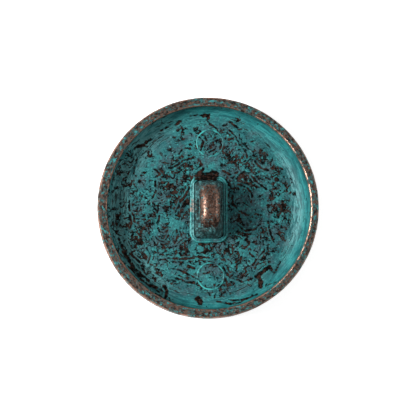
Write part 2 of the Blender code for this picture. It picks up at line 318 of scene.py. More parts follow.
def eased(share):
    share = min(1.0, max(0.0, share))
    return share * share * (3 - 2 * share)


def circle(radius, steps, centre=(0.0, 0.0)):
    angles = [math.tau / steps * index for index in range(steps)]
    return [(centre[0] + radius * math.cos(a), centre[1] + radius * math.sin(a)) for a in angles]


def rounded_outline(half_x, half_y, corner, steps):
    """A round-cornered rectangle about the shank's place, as even points, anticlockwise from +X."""
    path = [Vector((half_x, 0))]
    for side_x, side_y, start in ((1, 1, 0), (-1, 1, 90), (-1, -1, 180), (1, -1, 270)):
        centre = (side_x * (half_x - corner), side_y * (half_y - corner))
        path += [Vector(point) for point in arc(centre, (corner, corner), start, start + 90, 12)]
    path.append(Vector((half_x, 0)))
    lengths = [0.0]
    for before, after in zip(path, path[1:]):
        lengths.append(lengths[-1] + (after - before).length)
    spots = np.linspace(0, lengths[-1], steps, endpoint=False)
    xs = np.interp(spots, lengths, [point.x for point in path])
    ys = np.interp(spots, lengths, [point.y for point in path])
    return list(zip((xs + SHANK_PLACE[0]).tolist(), (ys + SHANK_PLACE[1]).tolist()))


# ---------------------------------------------------------------- surfaces


class Shell:
    """Rings of points, in millimetres, joined into one closed surface. rough scales the relief."""

    def __init__(self):
        self.points = []
        self.rough = []
        self.faces = []

    def ring(self, flat, height, rough=0.0):
        first = len(self.points)
        self.points += [(x, y, height) for x, y in flat]
        self.rough += [rough] * len(flat)
        return list(range(first, len(self.points)))

    def bridge(self, ring, other):
        for spot, point in enumerate(ring):
            after = (spot + 1) % len(ring)
            self.faces.append((point, ring[after], other[after], other[spot]))

    def lathe(self, profile, rough):
        """Turns (radius, height) points about Z. Returns the first and the last ring."""
        rings = [self.ring(circle(radius, TURN_STEPS), height, rough) for radius, height in profile]
        for ring, other in zip(rings, rings[1:]):
            self.bridge(ring, other)
        return rings[0], rings[-1]

    def sheet(self, outer, hole, guides, spacing, height, rough=0.0):
        """Fills the round ring outer, less hole, with even triangles that follow the guide loops."""
        owners = list(outer) + list(hole)
        flat = [Vector(self.points[index][:2]) for index in owners]
        loops = [(0, len(outer)), (len(outer), len(hole))]
        for guide in guides:
            loops.append((len(flat), len(guide)))
            flat += [Vector(point) for point in guide]
        edges = [(first + i, first + (i + 1) % count) for first, count in loops for i in range(count)]
        radius = max(point.length for point in flat)
        flat += spread_points(radius, spacing, flat)
        corners, _, triangles, origins = delaunay_2d_cdt(flat, edges, [], 0, 1e-7)[:4]
        names = []
        for corner, origin in zip(corners, origins):
            if origin and origin[0] < len(owners):
                names.append(owners[origin[0]])
                continue
            names.append(len(self.points))
            self.points.append((corner.x, corner.y, height(corner.x, corner.y)))
            self.rough.append(rough)
        edge_of_hole = set(hole)
        for triangle in triangles:
            face = [names[corner] for corner in triangle]
            if not edge_of_hole.issuperset(face):
                self.faces.append(face)


def spread_points(radius, spacing, taken):
    """A hexagonal grid of points inside a circle, with those too close to a taken point left out."""
    tree = kdtree.KDTree(len(taken))
    for index, point in enumerate(taken):
        tree.insert(point.to_3d(), index)
    tree.balance()
    points = []
    row_height = spacing * math.sqrt(3) / 2
    rows = int(radius / row_height) + 1
    for row in range(-rows, rows + 1):
        half = int(radius / spacing) + 1
        for column in range(-half, half + 1):
            point = Vector(((column + 0.5 * (row % 2)) * spacing, row * row_height))
            if point.length < radius and tree.find(point.to_3d())[2] > 0.6 * spacing:
                points.append(point)
    return points


def make_piece(name, shell, relief, material):
    """A closed object from a shell, pushed along its normals by relief(points) where the shell is rough."""
    mesh = bpy.data.meshes.new(name)
    mesh.from_pydata([Vector(point) * MM for point in shell.points], [], shell.faces)
    work = bmesh.new()
    work.from_mesh(mesh)
    bmesh.ops.recalc_face_normals(work, faces=work.faces)
    work.normal_update()
    heights = relief(np.array(shell.points)) * np.array(shell.rough)
    for vert, height in zip(work.verts, heights.tolist()):
        vert.co += vert.normal * (height * MM)
    work.to_mesh(mesh)
    work.free()
    mesh.shade_smooth()
    mesh.set_sharp_from_angle(angle=math.radians(50))
    mesh.materials.append(material)
    piece = bpy.data.objects.new(name, mesh)
    bpy.context.scene.collection.objects.link(piece)
    return piece


def join_frame(piece, node):
    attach(piece, "root")
    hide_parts(node)


def set_mark(piece, name, values):
    """Stores one number for each point of the mesh, for its material to read."""
    mark = piece.data.attributes.new(name, "FLOAT", "POINT")
    mark.data.foreach_set("value", np.asarray(values, np.float32))


def places_of(piece):
    places = np.zeros(len(piece.data.vertices) * 3)
    piece.data.vertices.foreach_get("co", places)
    return places.reshape(-1, 3) / MM


def lumps(places, size, octaves=3):
    """Smooth noise at each place, from about -1 to 1, whose lumps are size millimetres across."""
    return np.array([noise.fractal(point, 0.8, 2.1, octaves) for point in (places / size).tolist()])


# ---------------------------------------------------------------- face cap


def hammer_marks():
    """Centres of the hammer blows on the face: a grid, each nudged at random."""
    chance = random.Random(11)
    centres = kdtree.KDTree(400)
    count = 0
    steps = int(FIELD_RADIUS / HAMMER_SPACING) + 2
    for row in range(-steps, steps + 1):
        for column in range(-steps, steps + 1):
            x = (column + 0.5 * (row % 2) + chance.uniform(-HAMMER_NUDGE, HAMMER_NUDGE)) * HAMMER_SPACING
            y = (row * HAMMER_ROW + chance.uniform(-HAMMER_NUDGE, HAMMER_NUDGE)) * HAMMER_SPACING
            centres.insert((x, y, 0), count)
            count += 1
    centres.balance()
    return centres


def lean_lip(point):
    """Moves the lip's inner edge inwards, most on the left, where the fold overhangs the dish."""
    x, y, height = point
    radius = math.hypot(x, y)
    if height < LIP_UNDERSIDE:
        return point
    flat_width = BUTTON_RADIUS - RIM_OUTER_ROUNDING - RIM_INNER_RADIUS - RIM_INNER_ROUNDING
    share = eased((BUTTON_RADIUS - RIM_OUTER_ROUNDING - radius) / flat_width)
    shrink = 1 - share * LIP_OVERHANG * (1 - x / radius) / 2 / radius
    return (x * shrink, y * shrink, height)


def make_cap_shell():
    shell = Shell()
    centres = hammer_marks()

    def field_height(x, y):
        distance = centres.find((x, y, 0))[2]
        dent = HAMMER_DEPTH * max(0.0, 1 - (distance / (0.75 * HAMMER_SPACING)) ** 2)
        edge = eased((FIELD_RADIUS - math.hypot(x, y)) / HAMMER_FADE)
        return FIELD_SUNK + dent * edge

    step = [
        (FIELD_RADIUS + (RING_INNER_RADIUS - FIELD_RADIUS) * share / 8, FIELD_SUNK * (1 - eased(share / 8)))
        for share in range(9)
    ]
    outside = step + line(step[-1], (RING_OUTER_RADIUS, 0), 7)
    reach = BUTTON_RADIUS - RING_OUTER_RADIUS
    outside += arc((RING_OUTER_RADIUS, SHOULDER_HEIGHT), (reach, SHOULDER_HEIGHT), -90, 0, 26)
    side_top = (BUTTON_RADIUS, BODY_HEIGHT - RIM_OUTER_ROUNDING)
    outside += line(outside[-1], side_top, 12)
    rim = (RIM_OUTER_ROUNDING, RIM_OUTER_ROUNDING)
    outside += arc((BUTTON_RADIUS - rim[0], BODY_HEIGHT - rim[1]), rim, 0, 90, 7)
    inner = (RIM_INNER_ROUNDING, RIM_INNER_ROUNDING)
    inner_centre = (RIM_INNER_RADIUS + inner[0], BODY_HEIGHT - inner[1])
    outside += line(outside[-1], (inner_centre[0], BODY_HEIGHT), 6)
    outside += arc(inner_centre, inner, 90, 180, 6)
    outside += [(RIM_INNER_RADIUS, LIP_UNDERSIDE + 0.08), (RIM_INNER_RADIUS, LIP_UNDERSIDE)]
    inside = [(SIDE_INSIDE - 0.1, LIP_UNDERSIDE), (SIDE_INSIDE, LIP_UNDERSIDE - 0.1)]
    shoulder = (RING_OUTER_RADIUS, SHOULDER_HEIGHT)
    inside += arc(shoulder, (reach - CAP_SHEET, SHOULDER_HEIGHT - CAP_SHEET), 0, -90, 8)
    inside += [(RING_INNER_RADIUS, CAP_SHEET), (FIELD_RADIUS, FIELD_SUNK + CAP_SHEET)]
    front, lip = shell.lathe(outside, rough=1.0)
    back, last = shell.lathe(inside, rough=0.0)
    shell.bridge(lip, back)
    shell.points = [lean_lip(point) for point in shell.points]
    shell.sheet(front, [], [], FACE_GRAIN, field_height, rough=0.6)
    shell.sheet(last, [], [], HIDDEN_GRAIN, lambda x, y: FIELD_SUNK + CAP_SHEET)
    return shell


def cap_relief(places):
    return 0.010 * lumps(places, 1.6) + 0.006 * lumps(places, 0.45, 2)


def make_face_cap():
    piece = make_piece("face_cap_pressed", make_cap_shell(), cap_relief, rim_material())
    join_frame(piece, "face_cap")
    return piece


# ---------------------------------------------------------------- back dish


def kerb_profile():
    """The kerb from its window's lower edge to its foot on the floor, as (share of the way out, height)."""
    top = FLOOR_TOP + KERB_HEIGHT
    points = [(0.0, DISH_UNDERSIDE), (0.0, DISH_UNDERSIDE + 0.3), (0.0, FLOOR_TOP)]
    points += [(0.0, top - 0.05), (0.05, top - 0.01), (0.16, top), (0.28, top - 0.035), (0.45, top - 0.045)]
    points += [(0.58, top - 0.02)]
    points += arc((0.72, top - 0.16), (0.24, 0.16), 100, 0, 8)
    points += [(0.98, FLOOR_TOP + 0.10), (1.05, FLOOR_TOP + 0.04), (1.22, FLOOR_TOP)]
    return points


def make_kerb(shell):
    """Returns the kerb's lower edge in the window and its foot on the floor."""
    window = rounded_outline(*WINDOW_HALF, WINDOW_CORNER, KERB_STEPS)
    outer = rounded_outline(*KERB_HALF, KERB_CORNER, KERB_STEPS)
    rings = []
    for share, height in kerb_profile():
        flat = [(w[0] + (o[0] - w[0]) * share, w[1] + (o[1] - w[1]) * share) for w, o in zip(window, outer)]
        rings.append(shell.ring(flat, height, rough=0.6 if height > FLOOR_TOP else 0.0))
    for ring, other in zip(rings, rings[1:]):
        shell.bridge(ring, other)
    return rings[0], rings[-1]


def floor_height(x, y):
    height = FLOOR_TOP
    for place in EJECTOR_PLACES:
        off = math.hypot(x - place[0], y - place[1]) - EJECTOR_RADIUS
        if abs(off) < EJECTOR_HALF_LINE:
            height += EJECTOR_HEIGHT * (1 - (off / EJECTOR_HALF_LINE) ** 2) ** 2
        elif off < 0:
            height -= EJECTOR_SUNK
    return height


def make_dish_shell():
    shell = Shell()
    under, foot = make_kerb(shell)
    cove_top = FLOOR_TOP + COVE_HEIGHT
    inside = arc((FLOOR_RADIUS, cove_top), (COVE_WIDTH, COVE_HEIGHT), -90, 0, 22)
    inside += line(inside[-1], (RIM_INNER_RADIUS, DISH_TOP), 7) + [(RIM_INNER_RADIUS, DISH_TOP)]
    outside = [(FLANGE_RADIUS - FLANGE_CHAMFER, DISH_TOP), (FLANGE_RADIUS, DISH_TOP - FLANGE_CHAMFER)]
    reach = (FLANGE_RADIUS - FLOOR_RADIUS, FLANGE_FOOT - DISH_UNDERSIDE)
    outside += arc((FLOOR_RADIUS, FLANGE_FOOT), reach, 0, -90, 10)
    floor_edge, wall_top = shell.lathe(inside, rough=1.0)
    flange, bottom = shell.lathe(outside, rough=0.0)
    shell.bridge(wall_top, flange)
    guides = []
    for place in EJECTOR_PLACES:
        for share in (-1.0, -0.5, 0.0, 0.5, 1.0):
            guides.append(circle(EJECTOR_RADIUS + share * EJECTOR_HALF_LINE, 144, place))
    shell.sheet(floor_edge, foot, guides, FLOOR_GRAIN, floor_height, rough=1.0)
    shell.sheet(bottom, under, [], HIDDEN_GRAIN, lambda x, y: DISH_UNDERSIDE)
    return shell


def dish_relief(places):
    """Cast unevenness and the pits of the bare marks, which fade out under the rim."""
    fade = np.clip((DISH_TOP - places[:, 2]) / 0.5, 0, 1)
    pitted = np.clip(-stroke_distance(places) / PIT_SLOPE, 0, 1)
    return fade * (0.022 * lumps(places, 2.2) + 0.012 * lumps(places, 0.5) - PIT_DEPTH * pitted)


def stroke_distance(places):
    """How far each point is from the nearest stroke's edge, in millimetres, less than 0 inside it."""
    flat = places[:, :2]
    nearest = np.full(len(flat), 2.0)
    for width, points in STROKES:
        for start, end in zip(points, points[1:]):
            start, way = np.array(start), np.subtract(end, start)
            share = np.clip((flat - start) @ way / (way @ way), 0, 1)
            gap = np.linalg.norm(flat - start - share[:, None] * way, axis=1) - width / 2
            nearest = np.minimum(nearest, gap)
    return nearest


def crowding(places):
    amount = np.zeros(len(places))
    for x, y, radius, weight in CROWDING:
        squared = (places[:, 0] - x) ** 2 + (places[:, 1] - y) ** 2
        amount += weight * np.exp(-squared / radius**2)
    return amount


def outline_gap(places, half, corner):
    """How far each point is outside a rounded rectangle round the shank's place, less than 0 inside it."""
    x = abs(places[:, 0] - SHANK_PLACE[0]) - half[0] + corner
    y = abs(places[:, 1] - SHANK_PLACE[1]) - half[1] + corner
    return np.hypot(np.maximum(x, 0), np.maximum(y, 0)) + np.minimum(np.maximum(x, y), 0) - corner


def kerb_share(places):
    """1 on the kerb and 0 on the floor."""
    near = outline_gap(places, KERB_HALF, KERB_CORNER) < 0.2
    return near * np.clip((places[:, 2] - FLOOR_TOP - 0.04) / 0.1, 0, 1)


def worn_and_lit_ridges(places):
    """1 along the kerb's two edges and the ejector rings, where the film is rubbed thin and pale, and
    stronger on the sides that face the key light, as painted highlight.
    """
    amount = np.zeros(len(places))
    for x, y in EJECTOR_PLACES:
        off = (np.hypot(places[:, 0] - x, places[:, 1] - y) - EJECTOR_RADIUS) / EJECTOR_HALF_LINE
        # Stronger on each ring's left side, which faces the key light: painted highlight.
        lit = 1.1 - 0.5 * (places[:, 0] - x) / EJECTOR_RADIUS
        amount = np.maximum(amount, lit * np.clip(1.2 * (1 - off**2), 0, 1))
    outer = outline_gap(places, KERB_HALF, KERB_CORNER)
    inner = outline_gap(places, WINDOW_HALF, WINDOW_CORNER)
    raised = kerb_share(places)
    kerb = np.clip(1.2 - abs(outer + 0.05) / 0.11, 0, 1)
    # The window's edge is stronger on the right, where it faces the key light: painted highlight.
    facing_key_light = np.clip((places[:, 0] - SHANK_PLACE[0]) / 1.4, 0.15, 0.7)
    kerb = np.maximum(kerb, facing_key_light * np.clip(1.1 - abs(inner - 0.04) / 0.08, 0, 1))
    return np.maximum(amount, kerb * raised)


def make_back_dish():
    piece = make_piece("back_dish_cast", make_dish_shell(), dish_relief, patina_material())
    places = places_of(piece)
    set_mark(piece, "stroke", stroke_distance(places))
    set_mark(piece, "crowding", crowding(places))
    set_mark(piece, "ridge", worn_and_lit_ridges(places))
    set_mark(piece, "kerb", kerb_share(places))
    join_frame(piece, "back_dish")
    return piece


# ---------------------------------------------------------------- shank


def loop_half_x(height):
    start = FLOOR_TOP + KERB_HEIGHT
    share = min(1.0, max(0.0, (height - start) / (SHANK_TOP - start)))
    return LOOP_HALF_X[0] + (LOOP_HALF_X[1] - LOOP_HALF_X[0]) * share


def loop_outline():
    """The loop's outline seen along X as (y, z, edge rounding), anticlockwise from the middle of its foot."""
    flange_top = SHANK_LOW.z + SHANK_FLANGE_THICKNESS
    foot = SHANK_LOW.z + SHANK_FLANGE_THICKNESS / 2
    kerb_top = FLOOR_TOP + KERB_HEIGHT
    corner = (LOOP_BASE_HALF_Y, foot)
    right = [(0.0, foot)] + line((0.0, foot), corner, 10)
    sharp = len(right)
    right += [corner, (LOOP_BASE_HALF_Y, flange_top), (LOOP_BASE_HALF_Y, FLOOR_TOP - 0.2)]
    right += line(right[-1], (LOOP_BASE_HALF_Y, kerb_top), 4)
    right += [(LOOP_BASE_HALF_Y, kerb_top)] + line((LOOP_BASE_HALF_Y, kerb_top), LOOP_SPRING, 14)
    power = 2 / LOOP_ARCH_POWER
    for angle in np.linspace(0, math.pi / 2, 31):
        y = LOOP_SPRING[0] * max(0.0, math.cos(angle)) ** power
        z = LOOP_SPRING[1] + (SHANK_TOP - LOOP_SPRING[1]) * math.sin(angle) ** power
        right.append((y, z))
    rounded = [(y, z, 0.06 if index < sharp else LOOP_SIDE_ROUNDING) for index, (y, z) in enumerate(right)]
    return rounded + [(-y, z, rounding) for y, z, rounding in reversed(rounded[1:-1])]


def loop_section(reach, rounding):
    """Half of the bar's section, outwards: (distance from the eye's axis, share of half width, inset)."""
    turn = np.linspace(0, math.pi / 2, 8)
    points = [(EYE_RADIUS, share, 0.0) for share in (0.0, 0.3, 0.6)]
    for angle in turn:
        distance = EYE_RADIUS + EYE_EDGE_ROUNDING * (1 - math.cos(angle))
        points.append((distance, 1.0, EYE_EDGE_ROUNDING * (1 - math.sin(angle))))
    flank = EYE_RADIUS + EYE_EDGE_ROUNDING
    points += [(flank + (reach - rounding - flank) * step / 9, 1.0, 0.0) for step in range(1, 9)]
    for angle in turn:
        points.append((reach - rounding * (1 - math.sin(angle)), 1.0, rounding * (1 - math.cos(angle))))
    points += [(reach, share, 0.0) for share in (0.15, 0.07, 0.0)]
    return points


def make_loop_shell():
    shell = Shell()
    rings = []
    for y, z, rounding in loop_outline():
        reach = math.hypot(y, z - EYE_Z)
        way = (y / reach, (z - EYE_Z) / reach)
        half = []
        for distance, share, inset in loop_section(reach, rounding):
            height = EYE_Z + way[1] * distance
            half.append((share * loop_half_x(height) - inset, way[0] * distance, height))
        whole = half + [(-x, y_at, height) for x, y_at, height in reversed(half[1:-1])]
        first = len(shell.points)
        shell.points += [(x + SHANK_PLACE[0], y_at + SHANK_PLACE[1], height) for x, y_at, height in whole]
        shell.rough += [eased((height - FLOOR_TOP) / 0.6) for _, _, height in whole]
        rings.append(list(range(first, len(shell.points))))
    for index, ring in enumerate(rings):
        shell.bridge(ring, rings[(index + 1) % len(rings)])
    return shell


def shank_relief(places):
    return 0.014 * lumps(places, 0.9) + 0.006 * lumps(places, 0.3, 2)


def make_flange():
    """The plate on the shank's foot, which holds it under the dish's floor."""
    shell = Shell()
    flat = rounded_outline(*SHANK_FLANGE_HALF, SHANK_FLANGE_CORNER, 96)
    lower = shell.ring(flat, SHANK_LOW.z)
    upper = shell.ring(flat, SHANK_LOW.z + SHANK_FLANGE_THICKNESS)
    shell.bridge(lower, upper)
    shell.faces += [lower, upper]
    return make_piece("shank_flange", shell, shank_relief, shank_material())


def make_shank():
    piece = make_piece("shank_loop", make_loop_shell(), shank_relief, shank_material())
    flange = make_flange()
    union = piece.modifiers.new("flange", "BOOLEAN")
    union.operation = "UNION"
    union.solver = "EXACT"
    union.object = flange
    depsgraph = bpy.context.evaluated_depsgraph_get()
    whole = bpy.data.meshes.new_from_object(piece.evaluated_get(depsgraph))
    piece.modifiers.clear()
    piece.data = whole
    bpy.data.objects.remove(flange, do_unlink=True)
    places = places_of(piece)
    # Painted shade: the eye's bore and its edge are marked to be painted black metal with no reflection.
    from_eye = np.hypot(places[:, 1] - SHANK_PLACE[1], places[:, 2] - EYE_Z) - EYE_RADIUS
    set_mark(piece, "eye", np.clip(1 - (from_eye - 0.06) / 0.08, 0, 1))
    join_frame(piece, "shank")
    return piece


# ---------------------------------------------------------------- materials


def paint(red, green, blue):
    """A colour given as it looks on screen, 0 to 255, as the linear values that shaders use."""
    values = [channel / 255 for channel in (red, green, blue)]
    linear = [v / 12.92 if v <= 0.04045 else ((v + 0.055) / 1.055) ** 2.4 for v in values]
    return (*linear, 1.0)


FILM_DEEP = paint(32, 84, 88)
FILM_CLEAN = paint(42, 112, 113)
FILM_GREY = paint(54, 77, 83)
FILM_PORES = paint(30, 58, 61)
FILM_CRUST = paint(78, 160, 158)
METAL_BLACK = paint(6, 6, 5)
METAL_BROWN = paint(50, 35, 29)
WALL_FILM = paint(34, 120, 121)
WALL_DULL_AND_PAINTED_LIGHT = paint(84, 136, 138)
WALL_STREAK = paint(24, 74, 78)
WALL_GLINT = paint(84, 160, 159)
WALL_PAINTED_SHEEN = paint(112, 172, 174)
WALL_PAINTED_LIP_SHADOW = paint(20, 44, 46)
RIDGE_WORN_AND_LIT = paint(66, 168, 164)
KERB_PALE_AND_HIGHLIGHT = paint(104, 168, 166)
KERB_COPPER_AND_HIGHLIGHT = paint(150, 132, 122)
RIM_BLACK = paint(14, 11, 9)
RIM_BROWN = paint(84, 66, 57)
RIM_FILM_DARK = paint(42, 70, 70)
RIM_FILM = paint(52, 128, 130)
RIM_COPPER = paint(146, 110, 94)
RIM_COPPER_PAINTED_HIGHLIGHT = paint(186, 147, 128)
FLANK_DARK = paint(18, 50, 53)
FLANK_PALE = paint(90, 152, 153)
CREST_DARK = paint(38, 26, 22)
CREST_COPPER = paint(126, 97, 83)
CREST_BURNT = paint(22, 15, 12)
CARD_DARK = paint(120, 106, 84)
CARD_PALE = paint(178, 164, 138)


class Graph:
    """Adds a material's nodes and links in short calls. A value is a number, a colour or a socket."""

    MIX_SOCKETS = {"FLOAT": (2, 3, 0), "VECTOR": (4, 5, 1), "RGBA": (6, 7, 2)}

    def __init__(self, name):
        self.material = bpy.data.materials.new(name)
        self.material.use_nodes = True
        self.tree = self.material.node_tree
        self.shader = self.tree.nodes["Principled BSDF"]

    def feed(self, socket, value):
        if isinstance(value, bpy.types.NodeSocket):
            self.tree.links.new(value, socket)
        else:
            socket.default_value = value

    def shade(self, **values):
        """Sets or links the shader's inputs, with _ for each space in a name."""
        for name, value in values.items():
            self.feed(self.shader.inputs[name.replace("_", " ")], value)

    def add(self, kind, settings=None, **values):
        made = self.tree.nodes.new("ShaderNode" + kind)
        for name, value in (settings or {}).items():
            setattr(made, name, value)
        for name, value in values.items():
            self.feed(made.inputs[name.replace("_", " ")], value)
        return made

    def math(self, operation, *values):
        made = self.add("Math", {"operation": operation})
        for socket, value in zip(made.inputs, values):
            self.feed(socket, value)
        return made.outputs[0]

    def times(self, product, *others):
        for other in others:
            product = self.math("MULTIPLY", product, other)
        return product

    def plus(self, first, second):
        return self.math("ADD", first, second)

    def minus(self, first, second):
        return self.math("SUBTRACT", first, second)

    def most(self, first, second):
        return self.math("MAXIMUM", first, second)

    def away(self, value, centre):
        """How far a value is from a centre, on either side."""
        return self.math("ABSOLUTE", self.minus(value, centre))

    def vector(self, operation, *values, scale=None):
        made = self.add("VectorMath", {"operation": operation})
        for socket, value in zip(made.inputs, values):
            self.feed(socket, value)
        if scale is not None:
            self.feed(made.inputs["Scale"], scale)
        return made.outputs["Value" if operation == "LENGTH" else "Vector"]

    def millimetres(self):
        where = self.add("TexCoord").outputs["Object"]
        return self.vector("SCALE", where, scale=1 / MM)

    def split(self, where):
        """The place's x, y and z, its flat part (x, y, 0) and its distance from the Z axis."""
        x, y, z = self.add("SeparateXYZ", Vector=where).outputs
        flat = self.add("CombineXYZ", X=x, Y=y).outputs[0]
        return x, y, z, flat, self.vector("LENGTH", flat)

    def noise(self, where, scale, detail=3.0, roughness=0.55, shift=0.0, output="Fac"):
        moved = self.vector("ADD", where, (shift, shift * 0.7, shift * 1.3))
        made = self.add("TexNoise", Vector=moved, Scale=scale, Detail=detail, Roughness=roughness)
        return made.outputs[output]

    def step(self, value, low, high):
        """0 below low, 1 above high and smooth between; low may be the larger."""
        settings = {"interpolation_type": "SMOOTHSTEP"}
        return self.add("MapRange", settings, Value=value, From_Min=low, From_Max=high).outputs["Result"]

    def blend(self, kind, share, first, second):
        """The first value where share is 0 and the second where it is 1."""
        made = self.add("Mix", {"data_type": kind})
        first_socket, second_socket, result = self.MIX_SOCKETS[kind]
        self.feed(made.inputs[0], share)
        self.feed(made.inputs[first_socket], first)
        self.feed(made.inputs[second_socket], second)
        return made.outputs[result]

    def mix(self, share, first, second):
        return self.blend("RGBA", share, first, second)

    def between(self, share, first, second):
        return self.blend("FLOAT", share, first, second)

    def drawn_out(self, flat, radius, along, across):
        """Coordinates for a pattern drawn out round the Z axis, in cycles per millimetre along and across."""
        outward = self.vector("SCALE", self.vector("NORMALIZE", flat), scale=along * BUTTON_RADIUS)
        rings = self.add("CombineXYZ", Z=self.times(radius, across)).outputs[0]
        return self.vector("ADD", outward, rings)

    def mark(self, name):
        return self.add("Attribute", {"attribute_name": name}).outputs["Fac"]

    def bump(self, height, distance):
        return self.add("Bump", Height=height, Distance=distance * MM, Strength=1.0).outputs["Normal"]


def bare_marks(graph, where, crowd):
    """How far the film is missing, from 0 to 1: curls, patches and dots, more where crowded."""
    warp = graph.noise(where, 0.7, 3.0, 0.5, output="Color")
    bent = graph.vector("ADD", where, graph.vector("SCALE", warp, scale=CURL_BEND))
    zone = graph.plus(graph.times(graph.noise(where, 0.42, 3.0, 0.5, 7.7), 0.35), crowd)
    depth = 0.0
    for scale, room, shift in CURLS:
        off = graph.away(graph.noise(bent, scale, 4.0, 0.55, shift), 0.5)
        swell = graph.plus(graph.noise(where, scale * 1.1, 4.0, 0.6, shift + 5.2), zone)
        swell = graph.math("MINIMUM", graph.times(graph.minus(swell, room), 0.40), CURL_WIDEST)
        depth = graph.most(graph.step(graph.minus(off, swell), 0.012, -0.014), depth)
    patches = graph.step(graph.plus(graph.noise(bent, 2.4, 6.0, 0.74, 9.3), zone), 0.82, 0.85)
    dots = graph.step(graph.plus(graph.noise(where, 2.8, 2.0, 0.5, 4.6), zone), 0.88, 0.92)
    return graph.most(depth, graph.most(patches, dots))


def film(graph, where):
    """The blue-green film: clean and bright, deep, or thin and grey, with a fine grain."""
    cloud = graph.noise(where, 0.40, 5.0, 0.60, 1.3)
    colour = graph.mix(graph.step(cloud, 0.40, 0.60), FILM_DEEP, FILM_CLEAN)
    grey = graph.step(graph.noise(where, 0.8, 6.0, 0.70, 4.4), 0.47, 0.60)
    colour = graph.mix(graph.times(grey, 0.85), colour, FILM_GREY)
    grain = graph.noise(where, 5.0, 4.0, 0.7, 8.8)
    colour = graph.mix(graph.step(grain, 0.50, 0.30), colour, FILM_PORES)
    return graph.mix(graph.step(grain, 0.54, 0.74), colour, FILM_CRUST)


def bare_metal(graph, where):
    """The browned black under the film, with the brown in small patches."""
    brown = graph.step(graph.noise(where, 3.2, 4.0, 0.65, 6.1), 0.46, 0.58)
    return graph.mix(brown, METAL_BLACK, METAL_BROWN)


def dish_zones(graph):
    """The dish's place values and the zones that its film changes in."""
    zones = SimpleNamespace(where=graph.millimetres())
    zones.x, zones.y, _, flat, zones.radius = graph.split(zones.where)
    zones.drawn = graph.noise(graph.drawn_out(flat, zones.radius, 0.45, 4.5), 1.0, 5.0, 0.7, 2.9)
    zones.near_wall = graph.step(zones.radius, *NEAR_WALL)
    zones.wall = graph.step(zones.radius, *WALL)
    zones.left = graph.step(zones.x, *LEFT_SIDE)
    return zones


def dish_bareness(graph, zones):
    """How far the film is missing in the dish: random marks, scores along the wall and the placed strokes."""
    crowd = graph.times(graph.mark("crowding"), 0.13)
    rising = graph.times(graph.step(zones.radius, *CLEARING), graph.between(zones.left, 0.17, 0.04))
    depth = bare_marks(graph, zones.where, graph.minus(crowd, rising))
    scored = graph.minus(zones.drawn, graph.between(zones.left, 0.025, 0.0))
    scored = graph.minus(scored, graph.times(zones.wall, graph.between(zones.left, 0.05, 0.0)))
    scores = graph.times(graph.step(scored, 0.55, 0.60), zones.near_wall)
    depth = graph.most(depth, graph.times(scores, 0.9))
    stroke = graph.mark("stroke")
    clear = graph.minus(1.0, graph.most(graph.mark("kerb"), graph.mark("ridge")))
    depth = graph.times(depth, clear, graph.step(stroke, 0.05, 0.22))
    ragged = graph.times(graph.minus(graph.noise(zones.where, 2.2, 6.0, 0.75, 2.2), 0.5), 0.85)
    return graph.most(depth, graph.step(graph.plus(stroke, ragged), 0.04, -0.05))


def wall_colour(graph, zones, colour):
    """Lays the wall's streaks over the film's colour: dull grey with painted fill light on the left, and a
    painted sheen of the key light in a band on the right.
    """
    drawn = zones.drawn
    colour = graph.mix(graph.times(zones.wall, 0.55), colour, WALL_FILM)
    # Lighter grey on the left wall: greyer film, and painted fill light on that shaded side.
    dull_and_lit = graph.times(zones.near_wall, zones.left, graph.step(drawn, 0.38, 0.53))
    colour = graph.mix(graph.times(dull_and_lit, 0.80), colour, WALL_DULL_AND_PAINTED_LIGHT)
    streak = graph.times(zones.near_wall, graph.step(drawn, 0.50, 0.42))
    colour = graph.mix(graph.times(streak, graph.between(zones.left, 0.75, 0.50)), colour, WALL_STREAK)
    glint = graph.times(zones.near_wall, graph.step(drawn, 0.53, 0.60))
    colour = graph.mix(graph.times(glint, 0.3), colour, WALL_GLINT)
    # Painted sheen: a pale band on the right wall, where the key light's reflection falls.
    band = graph.step(graph.away(zones.radius, PAINTED_SHEEN_RADIUS), *PAINTED_SHEEN_WIDTH)
    side = graph.times(graph.step(zones.x, *PAINTED_SHEEN_SIDE), graph.step(zones.y, *PAINTED_SHEEN_START))
    painted_sheen = graph.times(graph.step(drawn, 0.45, 0.54), band, side, 0.5)
    return graph.mix(painted_sheen, colour, WALL_PAINTED_SHEEN)


def ridge_colour(graph, zones, colour):
    """Pales the film on the ridges and on the kerb's left side, which faces the key light and is rubbed to
    copper at its middle; that pale film and copper are partly painted highlight.
    """
    worn = graph.step(graph.noise(zones.where, 1.5, 4.0, 0.6, 3.6), 0.38, 0.60)
    # Pale worn film on the ridges, with painted highlight on their lit sides.
    colour = graph.mix(graph.times(graph.mark("ridge"), worn, 0.75), colour, RIDGE_WORN_AND_LIT)
    # The kerb's left side faces the key light: its pale film and copper are worn film and painted highlight.
    kerb_lit_side = graph.times(graph.mark("kerb"), graph.step(zones.x, *KERB_LIT_SIDE))
    kerb_lit_side = graph.times(kerb_lit_side, graph.step(graph.noise(zones.where, 3.2, 4.0, 0.7, 6.6), 0.44, 0.56))
    colour = graph.mix(graph.times(kerb_lit_side, 0.8), colour, KERB_PALE_AND_HIGHLIGHT)
    middle = graph.step(graph.away(zones.y, KERB_COPPER_Y), *KERB_COPPER_LENGTH)
    return graph.mix(graph.times(kerb_lit_side, middle), colour, KERB_COPPER_AND_HIGHLIGHT)


